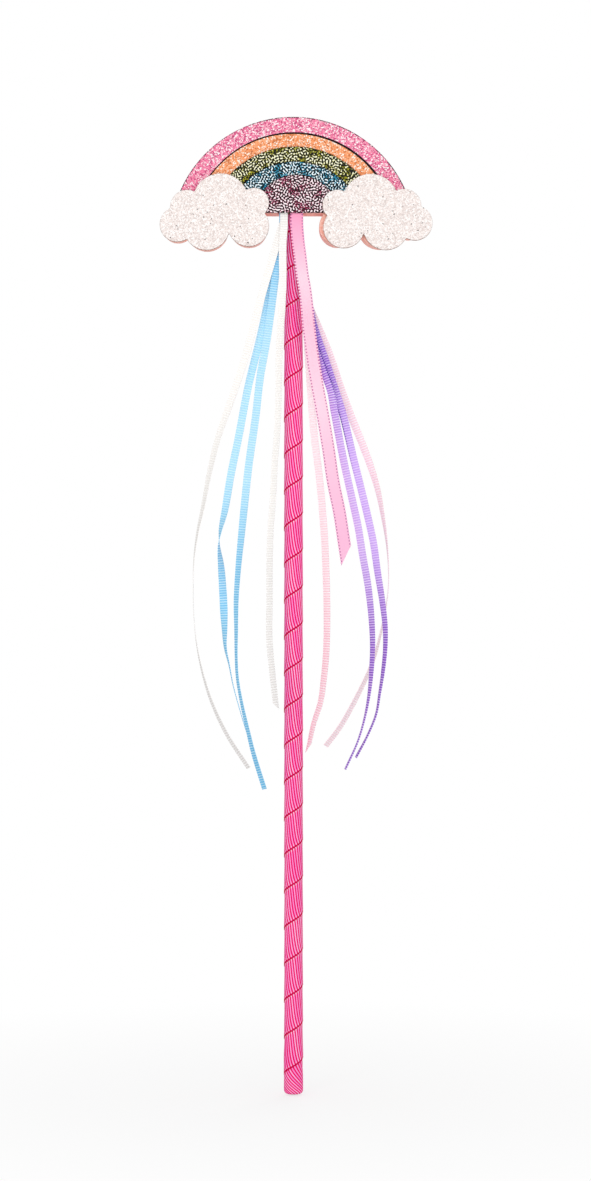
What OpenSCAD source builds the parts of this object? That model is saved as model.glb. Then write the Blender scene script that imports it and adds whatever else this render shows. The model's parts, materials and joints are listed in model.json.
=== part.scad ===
// Rainbow wand: a padded rainbow with two clouds on a stick that is wound with ribbon,
// and nine ribbon streamers that hang from under the rainbow.
// Z runs up the stick from the middle of its lower end, X to the right, and the front faces -Y.

/* [Stick] */
// Diameter of the wooden dowel
stick_d = 7.8; // [6:0.1:10]
// Height of the rainbow's straight lower edge above the stick's lower end
head_z = 405.5; // [300:0.5:500]
// How far the dowel reaches up into the head
stick_seat = 28; // [22:1:34]
// Gap round the dowel in its socket in the head
stick_clear = 0.1; // [0.05:0.05:0.3]

/* [Wound ribbon] */
// Height that the ribbon climbs in one turn
wrap_pitch = 16.75; // [12:0.25:24]
// Thickness of the ribbon
wrap_t = 0.25; // [0.2:0.05:0.6]
// Gap from one turn to the next, square to the seam
wrap_gap = 0.5; // [0.45:0.05:1]
// Gap between the ribbon and the dowel
wrap_clear = 0.04; // [0.02:0.01:0.2]
// Where round the stick the ribbon starts, in degrees
wrap_phase = -98; // [-180:1:180]
// Gap between either end of the wrap and what it meets
wrap_end_gap = 0.2; // [0.1:0.1:1]
// Height of the ribbon where its slanting ends are cut off
wrap_end_h = 3.5; // [2:0.5:6]

/* [Tip] */
// Length of the ribbon cap over the stick's lower end
tip_len = 12.5; // [8:0.5:25]
// Thickness of the cap's wall
tip_wall = 0.45; // [0.3:0.05:1]
// Thickness of the cap's closed end
tip_end_t = 0.8; // [0.4:0.1:2]
// Radius of the cap's lower corner
tip_round = 1.2; // [0.5:0.1:2]

/* [Rainbow] */
// Radius of the pink band's outer edge
pink_r = 56.5; // [54:0.1:60]
// Height of the pink band's crown above the rainbow's lower edge
pink_crown = 44.1; // [42:0.1:48]
// Sideways place of the pink band's centre
pink_x = -0.2; // [-1:0.1:1]
// Radius of the peach band's outer edge
peach_r = 47; // [46:0.1:49]
// Height of the peach band's crown
peach_crown = 36.3; // [35:0.1:39]
// Sideways place of the peach band's centre
peach_x = -0.1; // [-1:0.1:1]
// Radius of the gold band's outer edge
gold_r = 40.6; // [39:0.1:42]
// Height of the gold band's crown
gold_crown = 30.2; // [28:0.1:32]
// Sideways place of the gold band's centre
gold_x = 0.5; // [-1:0.1:1]
// Radius of the blue band's outer edge
blue_r = 31.7; // [30:0.1:33]
// Height of the blue band's crown
blue_crown = 23.4; // [21:0.1:25]
// Sideways place of the blue band's centre
blue_x = 0.7; // [-1:0.1:1.5]
// Radius of the plum piece in the middle
plum_r = 19.9; // [19:0.1:22]
// Height of the plum piece's crown
plum_crown = 17.3; // [17:0.1:19]
// Sideways place of the plum piece's centre
plum_x = 1.4; // [-1:0.1:2]
// Cut between the pink band and the peach band
wide_cut = 0.65; // [0.2:0.05:0.8]
// Sideways shift of the pink band's inner edge, which makes that cut wider on the right
wide_shift = 0.3; // [0:0.05:0.4]
// Cut between the other bands
fine_cut = 0.15; // [0.1:0.05:0.4]
// Thickness of the fine glitter fabric of the pink and peach bands
fine_t = 0.9; // [0.5:0.1:2]
// Extra thickness of the coarse glitter fabric of the gold, blue and plum pieces
coarse_extra = 0.5; // [0.2:0.1:1]

/* [Padding and back] */
// Thickness of the foam behind the dowel
core_wall = 0.6; // [0.5:0.1:3]
// How far the foam's edge lies inside the glitter fabric's edge
core_inset = 0.3; // [0.1:0.1:0.8]
// How far the padding stays inside a cloud's edge
cloud_inset = 0.8; // [0.1:0.1:1.5]
// How far the foam behind the right cloud is set towards the stick
core_shift = 2.7; // [0:0.1:4]
// How far the foam behind the right cloud is set upwards
core_lift = 0.8; // [0:0.1:1.5]
// Thickness of the felt back panel
back_t = 1; // [0.5:0.1:3]

/* [Clouds] */
// Size that the clouds' round lobes are drawn to, about a cloud's width
cloud_w = 50; // [44:0.5:54]
// Distance of the left cloud's middle from the stick's axis
cloud_left_x = 36.4; // [34:0.1:42]
// Height of the left cloud's middle above the rainbow's lower edge
cloud_left_z = 0.1; // [-2:0.1:2]
// Distance of the right cloud's middle from the stick's axis
cloud_right_x = 38.6; // [36:0.1:42]
// Height of the right cloud's middle above the rainbow's lower edge
cloud_right_z = 0; // [-2:0.1:2]
// Tilt of the right cloud, in degrees
cloud_right_tilt = 2.5; // [-5:0.5:5]
// Thickness of a cloud where it lies over the rainbow
cloud_t = 1; // [0.5:0.1:3]
// Gap between a cloud's rim and the rainbow's edge
cloud_clear = 0.15; // [0.1:0.05:0.5]

/* [Ribbons] */
// Width of a narrow grosgrain ribbon
ribbon_w = 3.5; // [2.5:0.1:3.6]
// Width of the wide satin ribbon
satin_w = 6.1; // [5:0.1:6.5]
// Thickness of a ribbon
ribbon_t = 0.25; // [0.15:0.05:0.4]
// Gap between one ribbon and the next where they leave the head
ribbon_gap = 0.2; // [0.15:0.05:0.5]
// Gap between the wound stick and the nearest ribbon
ribbon_clear = 0.25; // [0.2:0.05:1]
// Gap between the front ribbon and the plum piece
front_clear = 0.1; // [0.05:0.05:0.5]
// Length of the ribbons' fixed ends inside the head
fold_len = 15; // [10:0.5:18]
// Sideways place of the white ribbon
white_root_x = -4.4; // [-4.8:0.1:-4.4]
// Sideways place of the blue ribbon
blue_root_x = -4.8; // [-5.4:0.1:-4.4]
// Sideways place of the wide satin ribbon
satin_root_x = 1.5; // [1.3:0.1:2]
// Sideways place of the lavender ribbon
lavender_root_x = 2.6; // [2.2:0.1:3.2]
// Sideways place of the pale pink ribbon
pale_root_x = 2.4; // [2.2:0.1:3.2]
// Outward swing that a streamer has room for, in degrees
swing = 15; // [0:1:15]

/* [Hidden] */
$fn = 96;

// Extra depth of a cut past the face that it opens
overrun = 1;

// Stick and its cap
stick_r = stick_d / 2;
socket_r = stick_r + stick_clear;
cap_bore_r = stick_r + wrap_clear;
tip_r = cap_bore_r + tip_wall;

// The wound ribbon is a helix of flat facets that stays clear of the dowel along every facet
wrap_rings = 24;
wrap_r_in = (stick_r + wrap_clear) / cos(180 / wrap_rings);
wrap_r = wrap_r_in + wrap_t;
wrap_low = tip_len + wrap_end_gap;
wrap_high = head_z - wrap_end_gap;
wrap_lead = atan(wrap_pitch / (2 * PI * wrap_r));
wrap_band_h = wrap_pitch - wrap_gap / cos(wrap_lead);
wrap_first = (wrap_end_h - wrap_band_h) / wrap_pitch;
wrap_last = (wrap_high - wrap_low - wrap_end_h) / wrap_pitch;
wrap_steps = ceil((wrap_last - wrap_first) * wrap_rings);

// Depth of the layers of the head, where the front is at the lowest Y
lanes = 5;
lane_pitch = ribbon_t + ribbon_gap;
core_front_y = -(wrap_r + ribbon_clear + lanes * ribbon_t + (lanes - 1) * ribbon_gap + front_clear);
core_back_y = socket_r + core_wall;
core_t = core_back_y - core_front_y;
coarse_t = fine_t + coarse_extra;
seat_clear = stick_clear;
pink_inner_x = peach_x + min(wide_shift, wide_cut / 2);

// Pocket in the front of the foam that holds the ribbons' fixed ends
pocket_side = 0.5;
pocket_bite = 0.5;
pocket_top = 2;
pocket_left = min(white_root_x, blue_root_x) - ribbon_w / 2 - pocket_side;
narrow_root_x = max(lavender_root_x, pale_root_x);
pocket_right = max(satin_root_x + satin_w / 2, narrow_root_x + ribbon_w / 2) + pocket_side;
pocket_back_y = -(stick_r - pocket_bite);

// Lobes of a cloud as [across, up, radius], in shares of the cloud's size from its middle
lobe_shares = [
    [0.060, 0.100, 0.256],
    [-0.247, 0.050, 0.156],
    [-0.339, -0.110, 0.160],
    [-0.070, -0.134, 0.212],
    [0.316, -0.124, 0.188],
    [0.366, 0.087, 0.137]
];

// A streamer turns about its upper end, which leaves room under the fixed end for its corners
tail_clear = 0.1;
tail_z = head_z - satin_w / 2 * sin(swing) - tail_clear;

// Streamers hang in lanes, one behind another, that fan out in depth with the distance from the head
lane_fan_share = 0.024;
flat_lane = 2.5;

// Slant of a streamer's cut end: how much longer its outer edge is than its inner edge
white_inner_cut = -3;
satin_cut = -9;
pale_inner_cut = -5;

// Routes as [outwards from the upper end, down from the upper end, twist in degrees]
white_inner_route = [
    [0, 0, 0], [0, 5, 0], [0.5, 12, 5], [0.5, 28.5, 15], [1, 44, 24], [2, 59, 30], [2.5, 86, 36],
    [3, 99, 37], [4, 112, 38], [5, 131, 38], [6, 144, 38], [6.5, 160, 38], [6.5, 176.5, 38], [6.5, 196, 38],
    [5.5, 207, 40], [3.5, 225, 46]
];
white_outer_route = [
    [0, 0, 0], [0, 2.5, 0], [1.5, 7, 0], [5, 19, 0], [12, 43.5, 5], [17, 63, 12], [24.5, 86, 25],
    [30, 102, 38], [34, 118, 50], [37, 134, 62], [39.5, 146, 72], [41, 157.5, 82], [41.5, 173, 90],
    [40.5, 192, 86], [37.5, 208.5, 76], [32.5, 224.5, 67], [25.5, 239, 61], [16, 253.5, 58]
];
blue_inner_route = [
    [0, 0, 0], [0, 2.5, 0], [0.5, 8, 0], [2, 17, 0], [5.5, 43.5, 0], [7.5, 57.5, 0], [10.5, 74.5, 0],
    [12.5, 92, 0], [16, 117, 5], [17.5, 131, 15], [19, 146, 30], [20.5, 161.5, 45], [21.5, 177, 53],
    [21.5, 192, 64], [21.5, 202, 70], [21, 212, 70], [19, 224, 68], [16.5, 235, 63], [14, 245.5, 58],
    [8.5, 263.5, 54]
];
blue_outer_route = [
    [0, 0, 0], [0, 2.5, 0], [0.5, 8, 0], [2, 17, 0], [6, 35.5, 0], [10.5, 56, 0], [16, 78.5, 0],
    [20.5, 102, 5], [24, 119, 10], [27, 136.5, 35], [29, 145.5, 70], [29.5, 150.5, 95],
    [28.5, 161.5, 140], [27.5, 176.5, 172], [27, 189, 222], [26.5, 199.5, 252], [25, 206, 261],
    [23, 216, 266], [20, 227, 268], [14.5, 245, 269]
];
satin_route = [
    [0, 0, 0], [0, 4, 0], [0.5, 11, 0], [1.5, 18.5, 0], [2.5, 27, 0], [4, 36, 0], [5.5, 51.5, 0],
    [7.5, 67, 0], [9.5, 79, 0], [11.5, 90, 0], [14.5, 108, 0], [16.5, 122, 0], [19.5, 137, 0],
    [21.5, 150, 0], [22.5, 156.5, 0]
];
lavender_inner_route = [
    [0, 0, 0], [0, 2.5, 0], [0.5, 10, 5], [2, 25, 10], [3.5, 38, 15], [4.5, 50, 15], [7.5, 61, 15],
    [11.5, 72.5, 15], [14.5, 81, 15], [16, 89.5, 15], [21, 116, 18], [24, 129.5, 20], [27, 143.5, 22],
    [29, 156, 26], [31.5, 170.5, 32], [33, 184.5, 44], [33.5, 199.5, 54], [33, 208.5, 58], [32, 219, 70],
    [30, 230, 79], [27, 240.5, 82], [21, 254, 80]
];
lavender_outer_route = [
    [0, 0, 0], [0, 2.5, 0], [0.5, 10, 5], [2, 25, 10], [4, 38, 12], [6.5, 50, 15], [12, 66.5, 15],
    [15.5, 77, 15], [19.5, 89.5, 15], [25.5, 114, 18], [28.5, 126, 20], [31.5, 138.5, 22], [34, 150, 26],
    [36, 164, 34], [38, 176.5, 44], [39.5, 190.5, 54], [39.5, 198, 60], [38.5, 209, 66], [37, 219, 74],
    [35, 230, 79], [31.5, 238.5, 80], [26, 249, 78]
];
pale_inner_route = [
    [0, 0, 0], [0, 2.5, 0], [0.5, 10, 5], [2, 30, 12], [4, 58.5, 20], [5.5, 81.5, 25], [7.5, 104, 22],
    [9.5, 120.5, 22], [11, 136.5, 24], [12, 150, 26], [12.5, 161.5, 28], [13, 180.5, 32], [13, 190, 35],
    [12.5, 203.5, 38], [11.5, 213.5, 42], [10, 224, 48], [7, 233.5, 54], [4.5, 245, 60]
];
pale_outer_route = [
    [0, 0, 0], [0, 2.5, 0], [0.5, 10, 0], [2.5, 25, 0], [5, 42, 0], [8.5, 50, 0], [11.5, 57, 0], [15, 66, 0],
    [18.5, 76.5, 0], [23, 89, 5], [30, 106.5, 20], [33.5, 116, 34], [36.5, 126, 48], [38.5, 136, 62],
    [41, 153.5, 82], [41.5, 161.5, 88], [41.5, 170.5, 92], [40.5, 179, 97], [38.5, 189.5, 105],
    [34, 206, 118], [27, 221.5, 127], [17.5, 238, 131], [12.5, 244.5, 132]
];

// Joins a list of lists
function joined(lists) = [for (list = lists) each list];

// Depth of a lane's middle where it leaves the head: lane 0 is the front one
function lane_y(lane) = -(wrap_r + ribbon_clear + ribbon_t / 2 + (lanes - 1 - lane) * lane_pitch);

// Middle line of a streamer, from the rows of its route; side is -1 to the left and 1 to the right
function hung(route, side, x, lane) = [
    for (row = route)
        [
            x + side * row[0],
            lane_y(lane) + (lane - flat_lane) * lane_fan_share * norm([row[0], row[1]]),
            tail_z - row[1]
        ]
];

// Direction of a line of points at point i
function heading(points, i) =
    let (ahead = points[min(i + 1, len(points) - 1)], behind = points[max(i - 1, 0)])
    (ahead - behind) / norm(ahead - behind);

// Four corners of a flat ribbon at point i, with its outer edge first
function ribbon_ring(points, i, side, twist, w, cut) =
    let (
        along = heading(points, i),
        flat_out = side * [-along.z, 0, along.x] / norm([along.z, along.x]),
        across = flat_out * cos(twist) + cross(along, flat_out) * sin(twist),
        face = cross(along, across) * ribbon_t / 2,
        edge = across * w / 2 + along * cut / 2
    )
    [
        points[i] + edge + face,
        points[i] - edge + face,
        points[i] - edge - face,
        points[i] + edge - face
    ];

// Corner points of the wound ribbon after a number of turns from its lower end
function wrap_point(turn, r, z) =
    let (angle = 360 * turn + wrap_phase)
    [r * cos(angle), r * sin(angle), z];
function wrap_edge_low(turn) = min(max(wrap_low + wrap_pitch * turn, wrap_low), wrap_high);
function wrap_edge_high(turn) = min(max(wrap_low + wrap_pitch * turn + wrap_band_h, wrap_low), wrap_high);
function wrap_ring(turn) = [
    wrap_point(turn, wrap_r_in, wrap_edge_high(turn)),
    wrap_point(turn, wrap_r, wrap_edge_high(turn)),
    wrap_point(turn, wrap_r, wrap_edge_low(turn)),
    wrap_point(turn, wrap_r_in, wrap_edge_low(turn))
];

// Least gap between the upper edge of one turn and the lower edge of the next, measured on points
gap_checks = 40;
gap_reach = 4;
least_gap = min([
    for (a = [0:gap_checks - 1], b = [-gap_checks:gap_checks])
        let (
            turn = 1 + a / gap_checks,
            next = turn + 1 + b / (gap_checks * gap_reach),
            upper_edge = wrap_point(turn, wrap_r_in, wrap_edge_high(turn)),
            lower_edge = wrap_point(next, wrap_r_in, wrap_edge_low(next))
        )
        norm(upper_edge - lower_edge)
]);
echo(str("Least gap between the turns of the wound ribbon: ", least_gap, " mm"));

// Solid through a list of rings of four corners; both broad faces are split along the same
// diagonal, so a twisted ribbon keeps its thickness
module strip(rings) {
    sides = 4;
    last = sides * (len(rings) - 1);
    polyhedron(
        points = joined(rings),
        faces = concat(
            [[0, 1, 2], [0, 2, 3]],
            [[last, last + 2, last + 1], [last, last + 3, last + 2]],
            joined([
                for (i = [0:len(rings) - 2], j = [0:sides - 1])
                    let (
                        a = sides * i + j,
                        b = sides * i + (j + 1) % sides
                    )
                    j < 2
                        ? [[a, a + sides, b + sides], [a, b + sides, b]]
                        : [[a, a + sides, b], [a + sides, b + sides, b]]
            ])
        )
    );
}

// Streamer along its route; the slant applies to its last ring
module streamer(route, side, x, lane, w, cut = 0) {
    points = hung(route, side, x, lane);
    last = len(route) - 1;
    strip([for (i = [0:last]) ribbon_ring(points, i, side, route[i][2], w, i == last ? cut : 0)]);
}

// Flat layer of the head: its back face lies at back_y, and its outline is drawn from the lower edge
module layer(back_y, t) {
    translate([0, back_y, head_z])
        rotate([90, 0, 0])
            linear_extrude(t)
                children();
}

// Round-topped outline over the lower edge; foot is how far it reaches below that edge
module dome(r, crown, x, foot = 0) {
    intersection() {
        translate([x, crown - r])
            circle(r);
        translate([x - r, -foot])
            square([2 * r, crown + foot]);
    }
}

// Outline of one cloud about its middle
module cloud_outline(inset = 0) {
    for (lobe = lobe_shares)
        translate([lobe.x * cloud_w, lobe.y * cloud_w])
            circle(lobe.z * cloud_w - inset);
}

module at_left_cloud() {
    translate([-cloud_left_x, cloud_left_z])
        children();
}

module at_right_cloud() {
    translate([cloud_right_x, cloud_right_z])
        rotate(cloud_right_tilt)
            mirror([1, 0])
                children();
}

// Outline of the foam and of the felt behind it
module padding_outline() {
    dome(pink_r - core_inset, pink_crown - core_inset, pink_x);
    at_left_cloud()
        cloud_outline(cloud_inset);
    translate([-core_shift, core_lift])
        at_right_cloud()
            cloud_outline(cloud_inset);
}

// Cloud that lies over the bands' ends, with its rim brought down to the foam round them
module cloud() {
    layer(core_front_y, fine_t)
        difference() {
            children();
            dome(pink_r + cloud_clear, pink_crown + cloud_clear, pink_x, cloud_clear);
        }
    layer(core_front_y - fine_t, coarse_extra)
        difference() {
            children();
            dome(gold_r + cloud_clear, gold_crown + cloud_clear, gold_x, cloud_clear);
        }
    layer(core_front_y - coarse_t, cloud_t)
        children();
}

// Doubled fixed end of a narrow ribbon: two legs, in a lane and in the next, joined by the fold
module fold(x, front_lane) {
    r_in = ribbon_gap / 2;
    r_out = r_in + ribbon_t;
    translate([x - ribbon_w / 2, (lane_y(front_lane) + lane_y(front_lane + 1)) / 2, head_z])
        rotate([90, 0, 90])
            linear_extrude(ribbon_w)
                difference() {
                    union() {
                        translate([-r_out, 0])
                            square([2 * r_out, fold_len]);
                        translate([0, fold_len])
                            circle(r_out);
                    }
                    translate([-r_in, -overrun])
                        square([2 * r_in, fold_len + overrun]);
                    translate([0, fold_len])
                        circle(r_in);
                }
}

module stick() {
    color("burlywood")
        translate([0, 0, tip_end_t])
            cylinder(r = stick_r, h = head_z + stick_seat - tip_end_t);
}

module wound_ribbon() {
    color([0.93, 0.25, 0.55])
        strip([
            for (i = [0:wrap_steps])
                wrap_ring(wrap_first + (wrap_last - wrap_first) * i / wrap_steps)
        ]);
}

module tip_cap() {
    color([0.93, 0.22, 0.53])
        rotate_extrude()
            difference() {
                union() {
                    square([tip_r - tip_round, tip_len]);
                    translate([0, tip_round])
                        square([tip_r, tip_len - tip_round]);
                    translate([tip_r - tip_round, tip_round])
                        circle(tip_round);
                }
                translate([0, tip_end_t])
                    square([cap_bore_r, tip_len]);
            }
}

module foam_core() {
    color([0.98, 0.68, 0.6])
        difference() {
            layer(core_back_y, core_t)
                padding_outline();
            translate([0, 0, head_z - overrun])
                cylinder(r = socket_r, h = stick_seat + seat_clear + overrun);
            translate([pocket_left, core_front_y - overrun, head_z - overrun])
                cube([
                    pocket_right - pocket_left,
                    pocket_back_y - core_front_y + overrun,
                    fold_len + pocket_top + overrun
                ]);
        }
}

module back_panel() {
    color([0.96, 0.62, 0.55])
        layer(core_back_y + back_t, back_t)
            padding_outline();
}

module pink_band() {
    color([0.93, 0.6, 0.7])
        layer(core_front_y, fine_t)
            difference() {
                dome(pink_r, pink_crown, pink_x);
                dome(peach_r + wide_cut, peach_crown + wide_cut, pink_inner_x, overrun);
            }
}

module peach_band() {
    color([0.95, 0.69, 0.56])
        layer(core_front_y, fine_t)
            difference() {
                dome(peach_r, peach_crown, peach_x);
                dome(gold_r + fine_cut, gold_crown + fine_cut, gold_x, overrun);
            }
}

module gold_band() {
    color([0.6, 0.58, 0.3])
        layer(core_front_y, coarse_t)
            difference() {
                dome(gold_r, gold_crown, gold_x);
                dome(blue_r + fine_cut, blue_crown + fine_cut, blue_x, overrun);
            }
}

module blue_band() {
    color([0.4, 0.6, 0.68])
        layer(core_front_y, coarse_t)
            difference() {
                dome(blue_r, blue_crown, blue_x);
                dome(plum_r + fine_cut, plum_crown + fine_cut, plum_x, overrun);
            }
}

module plum_piece() {
    color([0.55, 0.35, 0.43])
        layer(core_front_y, coarse_t)
            dome(plum_r, plum_crown, plum_x);
}

module left_cloud() {
    color([0.96, 0.92, 0.91])
        cloud()
            at_left_cloud()
                cloud_outline();
}

module right_cloud() {
    color([0.96, 0.92, 0.91])
        cloud()
            at_right_cloud()
                cloud_outline();
}

module white_fold() {
    color("whitesmoke")
        fold(white_root_x, 0);
}

module blue_fold() {
    color([0.6, 0.84, 0.95])
        fold(blue_root_x, 2);
}

module lavender_fold() {
    color([0.8, 0.66, 0.92])
        fold(lavender_root_x, 1);
}

module pale_fold() {
    color([0.98, 0.85, 0.88])
        fold(pale_root_x, 3);
}

module satin_end() {
    color([0.97, 0.76, 0.86])
        translate([satin_root_x - satin_w / 2, lane_y(0) - ribbon_t / 2, head_z])
            cube([satin_w, ribbon_t, fold_len]);
}

module white_inner_streamer() {
    color("whitesmoke")
        streamer(white_inner_route, -1, white_root_x, 0, ribbon_w, white_inner_cut);
}

module white_outer_streamer() {
    color("whitesmoke")
        streamer(white_outer_route, -1, white_root_x, 1, ribbon_w);
}

module blue_inner_streamer() {
    color([0.6, 0.84, 0.95])
        streamer(blue_inner_route, -1, blue_root_x, 2, ribbon_w);
}

module blue_outer_streamer() {
    color([0.6, 0.84, 0.95])
        streamer(blue_outer_route, -1, blue_root_x, 3, ribbon_w);
}

module satin_streamer() {
    color([0.97, 0.76, 0.86])
        streamer(satin_route, 1, satin_root_x, 0, satin_w, satin_cut);
}

module lavender_inner_streamer() {
    color([0.8, 0.66, 0.92])
        streamer(lavender_inner_route, 1, lavender_root_x, 1, ribbon_w);
}

module lavender_outer_streamer() {
    color([0.8, 0.66, 0.92])
        streamer(lavender_outer_route, 1, lavender_root_x, 2, ribbon_w);
}

module pale_inner_streamer() {
    color([0.98, 0.85, 0.88])
        streamer(pale_inner_route, 1, pale_root_x, 3, ribbon_w, pale_inner_cut);
}

module pale_outer_streamer() {
    color([0.98, 0.85, 0.88])
        streamer(pale_outer_route, 1, pale_root_x, 4, ribbon_w);
}

stick();
wound_ribbon();
tip_cap();
foam_core();
back_panel();
pink_band();
peach_band();
gold_band();
blue_band();
plum_piece();
left_cloud();
right_cloud();
white_fold();
blue_fold();
lavender_fold();
pale_fold();
satin_end();
white_inner_streamer();
white_outer_streamer();
blue_inner_streamer();
blue_outer_streamer();
satin_streamer();
lavender_inner_streamer();
lavender_outer_streamer();
pale_inner_streamer();
pale_outer_streamer();
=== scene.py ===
# %% [markdown]
# # A rainbow wand with ribbon streamers
#
# The real wand is a thin dowel wound with hot pink ribbon. Its head is a glitter rainbow on foam, with a
# white cloud over each end, and nine loose ribbon ends hang from under it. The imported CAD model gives
# every place and size, so this lesson only dresses it: each step makes one kind of piece or one finish.

# %% Load the frame
import json
import math

import bpy
import numpy as np
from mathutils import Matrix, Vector


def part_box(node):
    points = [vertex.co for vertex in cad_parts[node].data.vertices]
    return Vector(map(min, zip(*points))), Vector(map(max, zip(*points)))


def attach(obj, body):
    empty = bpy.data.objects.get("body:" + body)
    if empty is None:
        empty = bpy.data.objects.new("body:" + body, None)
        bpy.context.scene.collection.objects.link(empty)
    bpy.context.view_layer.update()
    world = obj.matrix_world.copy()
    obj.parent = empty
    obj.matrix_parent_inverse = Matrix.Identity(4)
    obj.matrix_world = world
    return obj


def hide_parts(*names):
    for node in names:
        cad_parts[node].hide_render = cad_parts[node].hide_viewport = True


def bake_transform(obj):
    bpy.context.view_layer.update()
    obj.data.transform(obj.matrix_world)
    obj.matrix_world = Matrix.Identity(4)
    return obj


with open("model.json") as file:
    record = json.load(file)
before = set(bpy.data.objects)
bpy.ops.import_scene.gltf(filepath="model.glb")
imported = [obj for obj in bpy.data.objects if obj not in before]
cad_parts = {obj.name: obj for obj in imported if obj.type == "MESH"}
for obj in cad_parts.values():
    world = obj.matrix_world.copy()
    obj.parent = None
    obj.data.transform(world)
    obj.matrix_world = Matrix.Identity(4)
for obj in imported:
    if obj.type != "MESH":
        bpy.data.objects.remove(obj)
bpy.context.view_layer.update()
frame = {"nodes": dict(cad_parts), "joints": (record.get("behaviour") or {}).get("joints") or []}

MM = 0.001

# %% [markdown]
# ## The camera
#
# The photograph looks straight at the rainbow from the front, a little over a metre away. A perspective
# camera could be placed by eye, but its scale is known: one pixel is 0.4615 mm at the stick, so the lens
# follows from the height of the picture and the distance. A vertical sensor fit keeps that scale whatever
# the width of the render.

# %% Camera
PHOTO_HEIGHT_PX = 1181
PIXEL = 0.4615 * MM
EYE = Vector((0.92, -1300, 232.2)) * MM
SENSOR_MM = 36

bpy.ops.object.select_all(action="DESELECT")
bpy.ops.object.camera_add(location=EYE, rotation=(math.radians(90), 0, 0))
camera = bpy.context.object
camera.data.sensor_fit = "VERTICAL"
camera.data.sensor_height = SENSOR_MM
camera.data.lens = SENSOR_MM * -EYE.y / (PHOTO_HEIGHT_PX * PIXEL)
bpy.context.scene.camera = camera
print("lens in mm:", round(camera.data.lens, 2))

# %% [markdown]
# ## The streamers' routes
#
# Each streamer is a flat ribbon of a fixed length that hangs from the head and curls back towards the
# stick. A cloth simulation would let it fall straight, and the photograph shows where each one lies, so
# its route is written down as rows of millimetres: outwards from its root, down from its root, and its
# twist in degrees. These are the rows of the CAD model. The root itself is the pivot of its joint, which
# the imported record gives.

# %% Routes
WHITE_INNER = [
    (0, 0, 0), (0, 5, 0), (0.5, 12, 5), (0.5, 28.5, 15), (1, 44, 24), (2, 59, 30), (2.5, 86, 36),
    (3, 99, 37), (4, 112, 38), (5, 131, 38), (6, 144, 38), (6.5, 160, 38), (6.5, 176.5, 38), (6.5, 196, 38),
    (5.5, 207, 40), (3.5, 225, 46),
]
WHITE_OUTER = [
    (0, 0, 0), (0, 2.5, 0), (1.5, 7, 0), (5, 19, 0), (12, 43.5, 5), (17, 63, 12), (24.5, 86, 25),
    (30, 102, 38), (34, 118, 50), (37, 134, 62), (39.5, 146, 72), (41, 157.5, 82), (41.5, 173, 90),
    (40.5, 192, 86), (37.5, 208.5, 76), (32.5, 224.5, 67), (25.5, 239, 61), (16, 253.5, 58),
]
BLUE_INNER = [
    (0, 0, 0), (0, 2.5, 0), (0.5, 8, 0), (2, 17, 0), (5.5, 43.5, 0), (7.5, 57.5, 0), (10.5, 74.5, 0),
    (12.5, 92, 0), (16, 117, 5), (17.5, 131, 15), (19, 146, 30), (20.5, 161.5, 45), (21.5, 177, 53),
    (21.5, 192, 64), (21.5, 202, 70), (21, 212, 70), (19, 224, 68), (16.5, 235, 63), (14, 245.5, 58),
    (8.5, 263.5, 54),
]
BLUE_OUTER = [
    (0, 0, 0), (0, 2.5, 0), (0.5, 8, 0), (2, 17, 0), (6, 35.5, 0), (10.5, 56, 0), (16, 78.5, 0),
    (20.5, 102, 5), (24, 119, 10), (27, 136.5, 35), (29, 145.5, 70), (29.5, 150.5, 95),
    (28.5, 161.5, 140), (27.5, 176.5, 172), (27, 189, 222), (26.5, 199.5, 252), (25, 206, 261),
    (23, 216, 266), (20, 227, 268), (14.5, 245, 269),
]
SATIN = [
    (0, 0, 0), (0, 4, 0), (0.5, 11, 0), (1.5, 18.5, 0), (2.5, 27, 0), (4, 36, 0), (5.5, 51.5, 0),
    (7.5, 67, 0), (9.5, 79, 0), (11.5, 90, 0), (14.5, 108, 0), (16.5, 122, 0), (19.5, 137, 0),
    (21.5, 150, 0), (22.5, 156.5, 0),
]
LAVENDER_INNER = [
    (0, 0, 0), (0, 2.5, 0), (0.5, 10, 5), (2, 25, 10), (3.5, 38, 15), (4.5, 50, 15), (7.5, 61, 15),
    (11.5, 72.5, 15), (14.5, 81, 15), (16, 89.5, 15), (21, 116, 18), (24, 129.5, 20), (27, 143.5, 22),
    (29, 156, 26), (31.5, 170.5, 32), (33, 184.5, 44), (33.5, 199.5, 54), (33, 208.5, 58), (32, 219, 70),
    (30, 230, 79), (27, 240.5, 82), (21, 254, 80),
]
LAVENDER_OUTER = [
    (0, 0, 0), (0, 2.5, 0), (0.5, 10, 5), (2, 25, 10), (4, 38, 12), (6.5, 50, 15), (12, 66.5, 15),
    (15.5, 77, 15), (19.5, 89.5, 15), (25.5, 114, 18), (28.5, 126, 20), (31.5, 138.5, 22), (34, 150, 26),
    (36, 164, 34), (38, 176.5, 44), (39.5, 190.5, 54), (39.5, 198, 60), (38.5, 209, 66), (37, 219, 74),
    (35, 230, 79), (31.5, 238.5, 80), (26, 249, 78),
]
PALE_INNER = [
    (0, 0, 0), (0, 2.5, 0), (0.5, 10, 5), (2, 30, 12), (4, 58.5, 20), (5.5, 81.5, 25), (7.5, 104, 22),
    (9.5, 120.5, 22), (11, 136.5, 24), (12, 150, 26), (12.5, 161.5, 28), (13, 180.5, 32), (13, 190, 35),
    (12.5, 203.5, 38), (11.5, 213.5, 42), (10, 224, 48), (7, 233.5, 54), (4.5, 245, 60),
]
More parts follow.
